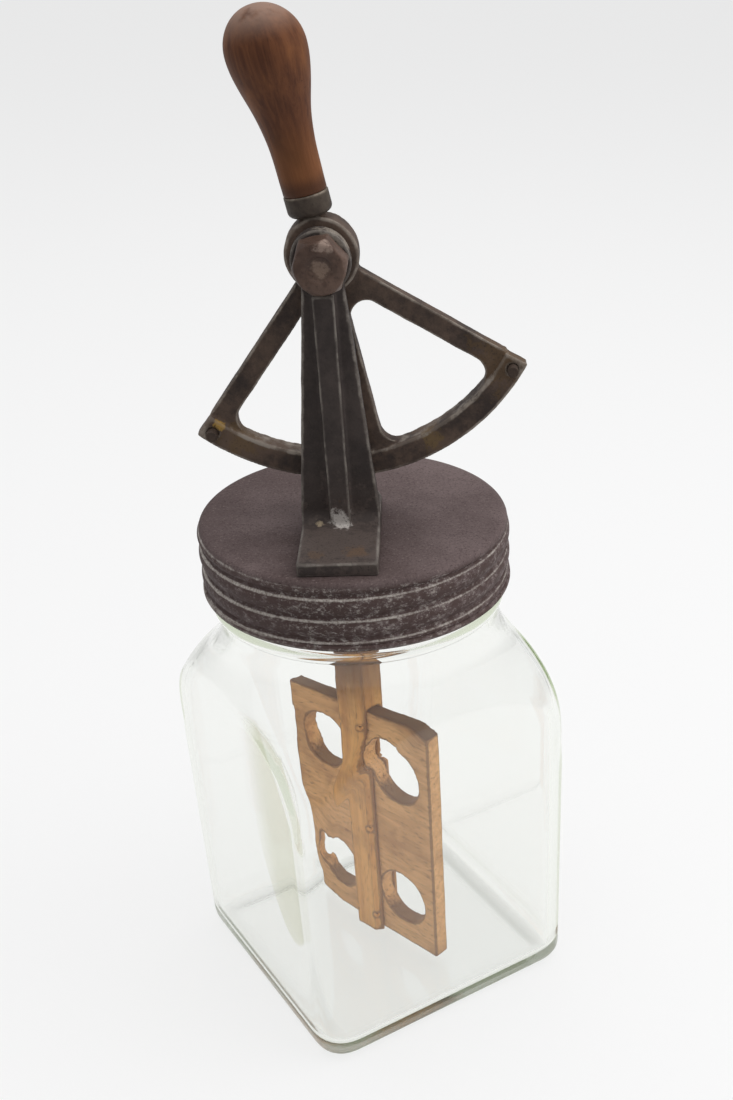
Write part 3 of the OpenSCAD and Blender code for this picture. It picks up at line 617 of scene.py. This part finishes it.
# %% Where the cap is rubbed and where highlights are painted
def lip_wear_and_glint(mesh):
    """Marks pale lines below each groove, at the hem and on the top edge, stronger to the left: rubbed
    lacquer, and painted highlights where these lips catch the light.
    """
    points = read_points(mesh, "co") / MM
    turn = np.arctan2(points[:, 1], points[:, 0])
    deep = cap_top - points[:, 2]
    off = from_groove(points[:, 2], turn)
    lips = np.exp(-((off + 1.5) / 0.65) ** 2) * np.clip(deep - 3.0, 0, 1) * np.clip(26.0 - deep, 0, 1)
    hem = 0.7 * np.exp(-((deep - skirt_h + 1.0) / 0.7) ** 2)
    # The top edge's line is painted stronger to the left, as a highlight.
    left = np.clip(-np.cos(turn + math.radians(40)), 0, 1) ** 2
    edge = np.exp(-((deep - 2.0) / 0.9) ** 2) * (0.6 + 0.4 * left)
    keep_wear(mesh, (lips + hem + edge).clip(0, 1))


print("cap wear ready")

# %% Cap sheet
hole_r, rim_r, rim_share = 7.0, 20.0, 0.2
skirt_low, under_top, inner = cap_top - skirt_h, cap_top - cap_t, cap_edge - cap_t
rings = [hole_ring(hole_r, cap_top, 0.0), hole_ring(rim_r, cap_top, rim_share)]
rings += [hole_ring(r, cap_top, 1.0) for r in (44.0, 54.0, 56.6)]
for step in np.radians(np.linspace(0, 90, 8)):
    drop = cap_edge * (1 - math.cos(step))
    rings.append(cap_ring(cap_r - cap_edge * (1 - math.sin(step)), cap_top - drop))
heights = np.arange(cap_top - 2.9, skirt_low + 2.3, -0.35)
rings += [cap_ring(cap_r, z) for z in heights]
for step in np.radians(np.linspace(90, -160, 11)):
    rings.append(cap_ring(cap_r + curl * math.cos(step), skirt_low + curl + curl * math.sin(step)))
rings += [cap_ring(cap_r, z, cap_t) for z in heights[::-1]]
for step in np.radians(np.linspace(90, 0, 6)):
    rise = inner * math.cos(step)
    rings.append(cap_ring(cap_r - cap_edge + inner * math.sin(step), cap_top - cap_edge + rise))
rings += [hole_ring(r, under_top, 1.0) for r in (54.0, 44.0)]
rings += [hole_ring(rim_r, under_top, rim_share), hole_ring(hole_r, under_top, 0.0)]
cap_mesh = skin("screw_cap_sheet", rings, loop=True)
lip_wear_and_glint(cap_mesh)
settle("screw_cap_sheet", cap_mesh, "cap", ["screw_cap"], lacquer, 60)

# %% [markdown]
# ## Old cast iron
# Bare cast iron that has been handled for a century is nearly black, with brown rust in the hollows,
# a golden bloom in patches, and edges rubbed to dull grey. Three sizes of noise give the patches and
# the pits, and the wear kept on the mesh gives the edges, which are partly rubbed grey and partly
# painted highlights. Single marks add rust, chips, painted light and painted highlights on a few parts.

# %% Iron finish
def iron_finish(name, deep, mid, rust, edge, rust_level, wear_level, shine, marks=(), glint_ring=None, gloss=0.12):
    """Cast iron: a dark skin, rust in patches, worn edges that are also painted highlights, single marks
    (place, reach, colour, share) and a glint ring (centre, radius), a painted glint along its circle."""
    iron = Finish(name)
    spot = iron.place()
    broad = iron.noise(spot, 22.0, 5.0, 0.6)
    small = iron.noise(spot, 4.0, 6.0, 0.65)
    pits = iron.noise(spot, 0.9, 4.0, 0.7)
    colour = iron.mix(deep, mid, (broad * 0.6 + small * 0.4).step(0.36, 0.62))
    colour = iron.mix(colour, rust, 0.7 * (broad * 0.6 + small * 0.6).step(rust_level, rust_level + 0.16))
    for place, reach, shade, share in marks:
        within = (iron.distance(spot, place) + 3.0 * reach * (small - 0.5)).step(reach, 0.5 * reach)
        colour = iron.mix(colour, iron.mix(shade, deep, pits.step(0.5, 0.75)), share * within)
    colour = iron.mix(colour, seen(26, 21, 19), 0.55 * pits.step(0.58, 0.74))
    wear_and_glint = (iron.wear() * wear_level + 0.5 * small - 0.5).step(0.0, 0.6)
    chips = iron.noise(spot, 9.0, 5.0, 0.7).step(0.42, 0.62)
    # A painted glint, broken by chips, along the circle of the rim's ledge.
    if glint_ring:
        centre, radius = glint_ring
        flat = iron.add("ShaderNodeVectorMath", {"operation": "MULTIPLY"}, {0: spot, 1: (1.0, 0.0, 1.0)})
        off = iron.add("ShaderNodeMath", {"operation": "ABSOLUTE"}, {0: iron.distance(flat, centre) - radius})
        colour = iron.mix(colour, edge, (off + 1.2 * (small - 0.5)).step(1.0, 0.3) * chips)
    # Edges rubbed grey, and painted highlights along them.
    colour = iron.mix(colour, edge, wear_and_glint * (0.3 + 0.6 * chips))
    iron.set(
        Base_Color=colour,
        Roughness=shine + 0.25 * (small - 0.5) - 0.08 * wear_and_glint,
        Metallic=0.2 * wear_and_glint,
        Normal=iron.bump(pits * 0.5 + small, 0.4, 0.45),
        Specular_IOR_Level=gloss,
    )
    return iron


print("iron finish ready")

# %% Marks on the iron
stand_marks = (
    # Painted light: the foot's top is made lighter, as where the light from above falls on it.
    ((-3.6, -38.0, 226.1), 26.0, seen(94, 83, 78), 0.6),
    ((-3.6, -22.4, 228.5), 4.6, seen(190, 184, 178), 0.9),
    ((-11.5, -21.5, 226.6), 2.2, seen(186, 168, 140), 0.6),
    ((3.0, -44.0, 226.1), 5.0, seen(104, 80, 58), 0.45),
    ((-12.0, -46.0, 226.1), 4.5, seen(96, 74, 54), 0.35),
    # The boss top is lighter grey: worn smooth, and painted light where it faces the lamp above.
    ((2.5, -14.0, 330.0), 9.0, seen(138, 129, 119), 0.9),
)
quadrant_marks = (
    # A brown rust patch, also painted lighter where the right-hand lamp falls on the quadrant's right end.
    ((56.0, -12.0, 284.0), 12.0, seen(106, 84, 58), 0.45),
    ((32.0, -12.0, 256.0), 5.0, seen(128, 104, 62), 0.4),
    ((-38.0, -12.0, 257.0), 8.0, seen(110, 88, 56), 0.4),
    ((-44.6, -13.1, 263.0), 2.8, seen(176, 140, 72), 0.85),
)
bolt_marks = (
    ((-3.6, -28.0, 322.5), 6.0, seen(74, 57, 49), 0.8),
    ((-3.4, -28.0, 321.5), 3.6, seen(134, 114, 100), 0.7),
    # Painted highlight on the bolt head's upper edge.
    ((-2.0, -28.0, 329.0), 3.0, seen(160, 140, 128), 0.7),
)
print("marks on the iron:", len(stand_marks + quadrant_marks + bolt_marks))

# %% Iron of each piece
pivot = (-3.6, 0.0, 321.7)
rim_ledge = 72.0
stand_iron = iron_finish(
    "stand_iron", seen(58, 52, 50), seen(74, 66, 63), seen(84, 66, 50), seen(132, 125, 118),
    rust_level=0.72, wear_level=5.5, shine=0.5, marks=stand_marks,
)
lever_iron = iron_finish(
    "lever_iron", seen(58, 50, 47), seen(96, 80, 70), seen(98, 78, 54), seen(148, 138, 128),
    rust_level=0.72, wear_level=6.0, shine=0.5, marks=quadrant_marks, glint_ring=(pivot, rim_ledge),
)
stop_iron = iron_finish(
    "stop_iron", seen(58, 49, 45), seen(76, 64, 56), seen(96, 72, 46), seen(120, 108, 92),
    rust_level=0.7, wear_level=4.0, shine=0.5,
)
bolt_iron = iron_finish(
    "bolt_iron", seen(72, 55, 47), seen(108, 87, 76), seen(112, 82, 64), seen(178, 160, 146),
    rust_level=0.74, wear_level=5.0, shine=0.4, marks=bolt_marks, gloss=0.25,
)
ferrule_iron = iron_finish(
    "ferrule_steel", seen(50, 42, 39), seen(80, 71, 63), seen(96, 78, 56), seen(158, 146, 132),
    rust_level=0.74, wear_level=2.0, shine=0.45,
)
print("iron finishes ready")

# %% [markdown]
# ## The castings
# The stand, the quadrant and the small pinion are castings. The nut and the stop pins are machined, so
# they get smaller cells to keep their edges crisp. The bolt's head is worn round by the spanner and
# pitted, so it gets many rounds and deep lumps.

# %% Castings
# Each row: piece, solid, body, slot, finish, cell, smoothing rounds, share kept, lumps, seed.
castings = (
    ("iron_stand", "standard", "cap", "iron", stand_iron, 0.6, 5, 1.0, (0.16, 7.0), 1),
    ("iron_quadrant", "quadrant", "lever", "iron", lever_iron, 0.55, 4, 1.0, (0.14, 6.0), 2),
    ("iron_pinion", "pinion", "dasher", "iron", lever_iron, 0.3, 3, 0.3, (0.03, 3.0), 3),
    ("hex_bolt", "pivot_bolt", "cap", "bolt", bolt_iron, 0.35, 16, 0.5, (0.3, 4.5), 4),
    ("hex_nut", "pivot_nut", "cap", "steel", bolt_iron, 0.3, 4, 0.25, (0.06, 4.0), 5),
    ("swing_stops", "stop_pins", "lever", "iron", stop_iron, 0.25, 5, 0.3, (0.08, 2.0), 6),
)
for piece, node, body, slot, finish, *making in castings:
    settle(piece, cast(node, *making), body, [node], finish)

# %% [markdown]
# ## Bare metal inside
# Washers, pins, screws and the spindle are plain steel that has gone grey, and the bush is brass. The
# gasket is red rubber. Their solids are already right, so they stay and only get a finish.

# %% Steel, brass and rubber
def metal_finish(name, pale, dull, stain, rough):
    """Plain metal with fine turning marks and stains."""
    metal = Finish(name)
    stains = metal.noise(metal.place(), 6.0, 6.0, 0.65)
    lines = metal.noise(metal.place((0.4, 0.4, 6.0)), 2.0, 3.0, 0.6)
    colour = metal.mix(dull, pale, stains.step(0.3, 0.65))
    metal.set(
        Base_Color=metal.mix(colour, stain, 0.7 * stains.step(0.58, 0.72)),
        Metallic=0.85,
        Roughness=rough + 0.2 * (stains - 0.5),
        Normal=metal.bump(lines + stains, 0.2, 0.15),
    )
    return metal


steel = metal_finish("grey_steel", seen(150, 146, 140), seen(112, 107, 100), seen(88, 66, 50), 0.42)
brass = metal_finish("old_brass", seen(176, 146, 88), seen(140, 112, 62), seen(92, 74, 44), 0.38)
rubber = Finish("red_rubber")
dust = rubber.noise(rubber.place(), 3.0, 5.0, 0.7)
rubber.set(
    Base_Color=rubber.mix(seen(92, 44, 36), seen(128, 78, 66), dust.step(0.35, 0.75)),
    Roughness=0.75 + 0.2 * (dust - 0.5),
    Normal=rubber.bump(dust, 0.3, 0.2),
)
plain = {
    "cap_gasket": rubber, "spindle_bush": brass, "backing_plate": steel, "foot_screws": steel,
    "thrust_washer": steel, "pivot_washers": steel, "spindle": steel, "pinion_pin": steel,
    "dasher_washer": steel, "dasher_pin": steel,
}
for node, finish in plain.items():
    dress(node, finish)
print("finished as they are:", ", ".join(plain))

# %% [markdown]
# ## The handle
# The grip is turned hardwood under old varnish: red-brown, darker along the grain, black in the dents,
# and with a painted grey sheen on its round end. Grain runs along the handle, so the noise is stretched
# that way, in a frame that leans as the handle leans. The ferrule is a drawn steel cup.

# %% Varnished wood
lean = math.radians(11.4)
hub_mid = -8.2
grip_place = {"turn": (0.0, -lean, 0.0), "start": (pivot[0] * MM, hub_mid * MM, pivot[2] * MM)}
varnish = Finish("varnished_wood")
spot = varnish.place(**grip_place)
along = varnish.axis(spot, 2)
grain = varnish.noise(varnish.place((1.0, 1.0, 0.09), **grip_place), 2.6, 6.0, 0.6, 0.6)
fine_grain = varnish.noise(varnish.place((1.0, 1.0, 0.05), **grip_place), 0.8, 3.0, 0.6)
patch = varnish.noise(varnish.place((1.0, 1.0, 0.5), **grip_place), 13.0, 4.0, 0.55)
# Painted sheen: the round end is greyed where the overhead light would shine on the varnish.
end_sheen = along.step(67.0, 77.0) * varnish.noise(spot, 9.0, 4.0, 0.6).step(0.2, 0.5)
dents = varnish.noise(spot, 1.6, 2.0, 0.5).step(0.73, 0.78)
colour = varnish.mix(seen(78, 46, 31), seen(106, 66, 43), grain.step(0.3, 0.68))
colour = varnish.mix(colour, seen(140, 90, 54), 0.6 * patch.step(0.5, 0.7))
colour = varnish.mix(colour, seen(58, 34, 24), 0.6 * patch.step(0.46, 0.3))
colour = varnish.mix(colour, seen(52, 30, 21), 0.35 * fine_grain.step(0.58, 0.72))
colour = varnish.mix(colour, seen(154, 128, 114), 0.75 * end_sheen)
colour = varnish.mix(colour, seen(142, 92, 54), 0.35 * along.step(46.0, 30.0))
colour = varnish.mix(colour, seen(54, 34, 27), 0.65 * along.step(27.0, 22.0))
varnish.set(
    Base_Color=varnish.mix(colour, seen(34, 22, 17), 0.8 * dents),
    Roughness=0.48 + 0.12 * end_sheen + 0.2 * dents,
    Coat_Weight=0.05 - 0.03 * end_sheen,
    Coat_Roughness=0.35,
    Normal=varnish.bump(grain + fine_grain - 2.0 * dents, 0.2, 0.25),
    Specular_IOR_Level=0.15,
)
print("varnish has", len(varnish.nodes), "nodes")

# %% Grip and ferrule sizes
ferrule_start, grip_start, grip_tip, grip_end = 13.2, 20.2, 76.9, 13.0
neck_r, bulb_r, swell_start = 7.5, 13.4, 24.7
thickest = grip_tip - grip_end
ferrule_r, ferrule_t, ferrule_hole, ferrule_round = 7.7, 0.9, 3.3, 2.0
tenon_r, tenon_tip, shoulder_r = 6.6, 5.6, 7.2


def turned(name, profile, loop=False):
    """A turned piece on the handle's axis, from (radius, distance from the pivot) pairs."""
    turns = np.linspace(0, 2 * math.pi, 72, endpoint=False)
    stand = Matrix.Translation(Vector((pivot[0], hub_mid, pivot[2]))) @ Matrix.Rotation(-lean, 4, "Y")
    rings = []
    for r, t in profile:
        rings.append([stand @ Vector((r * math.cos(a), r * math.sin(a), t)) * MM for a in turns])
    return skin(name, rings, loop=loop)


def grip_radius(t):
    """The grip's radius at a distance from the pivot: a neck, a swelling and a round end."""
    if t > thickest:
        return bulb_r * math.sqrt(max(0.0, 1 - ((t - thickest) / grip_end) ** 2))
    u = max(0.0, (t - swell_start) / (thickest - swell_start))
    return neck_r + (bulb_r - neck_r) * (0.5 - 0.5 * math.cos(math.pi * u ** 1.5))


print("the grip is", round(2 * bulb_r, 1), "mm thick")

# %% Grip
profile = [(tenon_tip, ferrule_start + 2.0), (tenon_r, ferrule_start + 3.0)]
profile += [(tenon_r, grip_start - 0.1), (shoulder_r, grip_start + 0.05)]
distances = list(np.linspace(grip_start + 0.4, thickest, 46))
distances += [thickest + grip_end * math.sin(a) for a in np.radians(np.linspace(4, 89.2, 24))]
profile += [(grip_radius(t), t) for t in distances]
grip_mesh = turned("turned_grip", profile)
lumps(grip_mesh, 0.12, 9.0, 7)
edge_wear(grip_mesh, wear_rounds)
settle("turned_grip", grip_mesh, "lever", ["handle_grip"], varnish, 50)

# %% Ferrule
inner_r = ferrule_r - ferrule_t
profile = [(ferrule_hole, ferrule_start)]
for a in np.radians(np.linspace(0, 90, 9)):
    out = ferrule_r - ferrule_round + ferrule_round * math.sin(a)
    profile.append((out, ferrule_start + ferrule_round - ferrule_round * math.cos(a)))
profile += [(ferrule_r, t) for t in np.linspace(ferrule_start + 2.8, grip_start - 0.3, 6)]
profile += [(ferrule_r - 0.3, grip_start), (inner_r, grip_start)]
profile += [(inner_r, ferrule_start + 1.9), (ferrule_hole, ferrule_start + ferrule_t)]
ferrule_mesh = turned("steel_ferrule", profile, loop=True)
edge_wear(ferrule_mesh, 5)
settle("steel_ferrule", ferrule_mesh, "lever", ["handle_ferrule"], ferrule_iron, 50)

# %% [markdown]
# ## The dasher's wood
# The dasher is pale hardwood that has soaked up cream and water: tan, flecked along the grain, darker
# on end grain and edges, and painted dark amber towards the neck, as shade under the cap. The stem's
# grain runs up, the blades' grain runs out from the stem, so the same finish is made twice with its
# grain turned. The nails are set below the surface and stopped with the same wood, so they take the
# stem's finish.

# %% Dasher finishes
blade_turn = math.radians(-43)
dasher_place = {"turn": (0.0, 0.0, blade_turn), "start": (spindle_x * MM, spindle_y * MM, 0.0)}


def dasher_finish(name, stretch, pale, tan, fleck):
    """Soaked hardwood with its grain along the small number of stretch."""
    wood = Finish(name)
    spot = wood.place(**dasher_place)
    rings = wood.noise(wood.place(stretch, **dasher_place), 3.4, 5.0, 0.6, 0.4)
    flecks = wood.noise(wood.place(tuple(v ** 0.6 for v in stretch), **dasher_place), 1.3, 4.0, 0.65)
    broad = wood.noise(spot, 26.0, 4.0, 0.55)
    height = wood.axis(spot, 2) + 22.0 * (broad - 0.5)
    upward = wood.axis(wood.add("ShaderNodeNewGeometry", {}, {}, "Normal"), 2)
    edges = (wood.wear() * 5.0 + 0.8 * flecks - 0.6).step(0.0, 0.6)
    colour = wood.mix(tan, pale, rings.step(0.3, 0.66))
    colour = wood.mix(colour, fleck, 0.7 * flecks.step(0.54, 0.68))
    colour = wood.mix(colour, seen(160, 108, 66), 0.5 * broad.step(0.48, 0.68))
    # Painted shade: darker amber towards the neck, where the cap shades the wood.
    colour = wood.mix(colour, seen(88, 48, 18), 0.95 * height.step(120.0, 168.0))
    colour = wood.mix(colour, seen(104, 72, 50), 0.75 * (upward + 0.6 * flecks).step(0.75, 1.15))
    wood.set(
        Base_Color=wood.mix(colour, seen(124, 84, 56), 0.7 * edges),
        Roughness=0.58 + 0.2 * (rings - 0.5),
        Normal=wood.bump(rings + 0.8 * flecks, 0.35, 0.35),
        Specular_IOR_Level=0.2,
    )
    return wood


upright_grain, outward_grain = (1.0, 1.0, 0.06), (0.1, 1.0, 1.0)
stem_colours = seen(236, 176, 104), seen(216, 152, 86), seen(186, 124, 66)
blade_colours = seen(232, 178, 120), seen(208, 152, 98), seen(146, 98, 60)
stem_wood = dasher_finish("stem_wood", upright_grain, *stem_colours)
blade_wood = dasher_finish("blade_wood", outward_grain, *blade_colours)
dress("blade_nails", stem_wood)
print("dasher finishes ready")

# %% [markdown]
# ## Stem and blades
# These were sawn and planed by machine, then rounded by long use. The solids have the right form, so
# they are recast on a fine grid like the iron, which softens each edge by a fraction of a millimetre.

# %% Stem and blades
stem_mesh = cast("dasher_shaft", 0.8, 3, 1.0, (0.1, 9.0), 8)
settle("dasher_stem", stem_mesh, "dasher", ["dasher_shaft"], stem_wood)
for node, seed in (("front_blade", 9), ("rear_blade", 10)):
    blade_mesh = cast(node, 0.75, 3, 1.0, (0.16, 8.0), seed)
    settle("dasher_" + node, blade_mesh, "dasher", [node], blade_wood)

# %% [markdown]
# ## Camera
# The photograph is a crop of a larger picture, so its centre isn't where the lens pointed. A shifted
# lens gives the same perspective: the camera looks where the real one looked, and the picture slides.

# %% Camera
eye = Vector((0.035045, -0.498883, 0.455646))
ahead = Vector((0.05963, 0.80788, -0.58632)).normalized()
roll = math.radians(0.586)
level = ahead.cross(Vector((0, 0, 1))).normalized()
upright = level.cross(ahead)
right = level * math.cos(roll) + upright * math.sin(roll)
above = upright * math.cos(roll) - level * math.sin(roll)
lens = bpy.data.cameras.new("photo_camera")
lens.sensor_width = 36.0
lens.lens = 45.09
lens.shift_x = -0.15278
lens.shift_y = 0.20022
lens.clip_start = 0.01
camera = bpy.data.objects.new("photo_camera", lens)
camera.matrix_world = Matrix.Translation(eye) @ Matrix((right, above, -ahead)).transposed().to_4x4()
bpy.context.scene.collection.objects.link(camera)
bpy.context.scene.camera = camera
print("camera stands", round((eye - Vector((0, 0, 0.2))).length, 3), "m from the churn")

# %% [markdown]
# ## Studio
# A pale floor and a pale room all round, a large soft lamp above and a smaller one at each side. The
# floor shows itself to the camera as near white, but keeps part of its own shading, so the churn still
# stands in its shadow. Views through the glass get nearly the same white. Reflections of the room get
# less of it, or they would veil the glass.

# %% Floor
floor_half, floor_z = 8.0, -0.0005


def ray_kind(net, kind):
    """1 for rays of one kind, such as Camera, and 0 for others."""
    return net.add("ShaderNodeLightPath", {}, {}, "Is " + kind + " Ray")


pale = Finish("pale_floor")
away = pale.add("ShaderNodeVectorMath", {"operation": "LENGTH"}, {0: pale.place()}, "Value")
near = away.step(1100.0, 450.0)
bent = ray_kind(pale, "Glossy") + ray_kind(pale, "Transmission")
shown = (ray_kind(pale, "Camera") + bent * (0.35 + 0.55 * near)).step(0.0, 1.0)
pale.set(
    Base_Color=pale.mix((0.5, 0.5, 0.5), (0.76, 0.76, 0.76), shown),
    Roughness=0.8,
    Specular_IOR_Level=0.1,
)
glow = pale.add("ShaderNodeEmission", {}, {"Color": (1.0, 1.0, 1.0)})
lift = pale.add("ShaderNodeMixShader", {}, {0: 0.72 * shown, 1: pale.surface, 2: glow})
pale.plug(pale.out.inputs["Surface"], lift)
floor_mesh = bpy.data.meshes.new("floor")
corners = [(x * floor_half, y * floor_half, floor_z) for x, y in ((-1, -1), (1, -1), (1, 1), (-1, 1))]
floor_mesh.from_pydata(corners, [], [(0, 1, 2, 3)])
floor_mesh.materials.append(pale.material)
floor = bpy.data.objects.new("floor", floor_mesh)
bpy.context.scene.collection.objects.link(floor)
print("floor finish has", len(pale.nodes), "nodes")

# %% Room
world = bpy.data.worlds.new("pale_room")
bpy.context.scene.world = world
world.use_nodes = True
room = Net(world.node_tree)
direct = ray_kind(room, "Camera") + 0.1 * ray_kind(room, "Glossy") + ray_kind(room, "Transmission")
strength = room.add("ShaderNodeMapRange", {}, {0: direct, 3: 0.4, 4: 0.95})
sky = room.nodes["Background"]
room.plug(sky.inputs["Color"], (0.96, 0.965, 0.98))
room.plug(sky.inputs["Strength"], strength)
print("room has", len(room.nodes), "nodes")


# %% Lamps
def soft_lamp(name, place, aim, size, power):
    """A large soft lamp that doesn't show in reflections or through the glass."""
    lamp = bpy.data.lights.new(name, "AREA")
    lamp.shape = "RECTANGLE"
    lamp.size, lamp.size_y = size
    lamp.energy = power
    holder = bpy.data.objects.new(name, lamp)
    holder.location = place
    holder.rotation_euler = (Vector(aim) - Vector(place)).to_track_quat("-Z", "Y").to_euler()
    holder.visible_glossy = holder.visible_transmission = False
    bpy.context.scene.collection.objects.link(holder)


soft_lamp("overhead", (0.15, 0.1, 1.5), (0, 0, 0.2), (2.2, 1.8), 18.0)
soft_lamp("left_side", (-1.1, -0.3, 0.8), (0, 0, 0.25), (1.0, 1.2), 1.2)
soft_lamp("right_side", (1.0, -0.1, 0.7), (0, 0, 0.25), (1.0, 1.2), 6.0)
bpy.context.scene.view_settings.view_transform = "Standard"
print("studio ready")
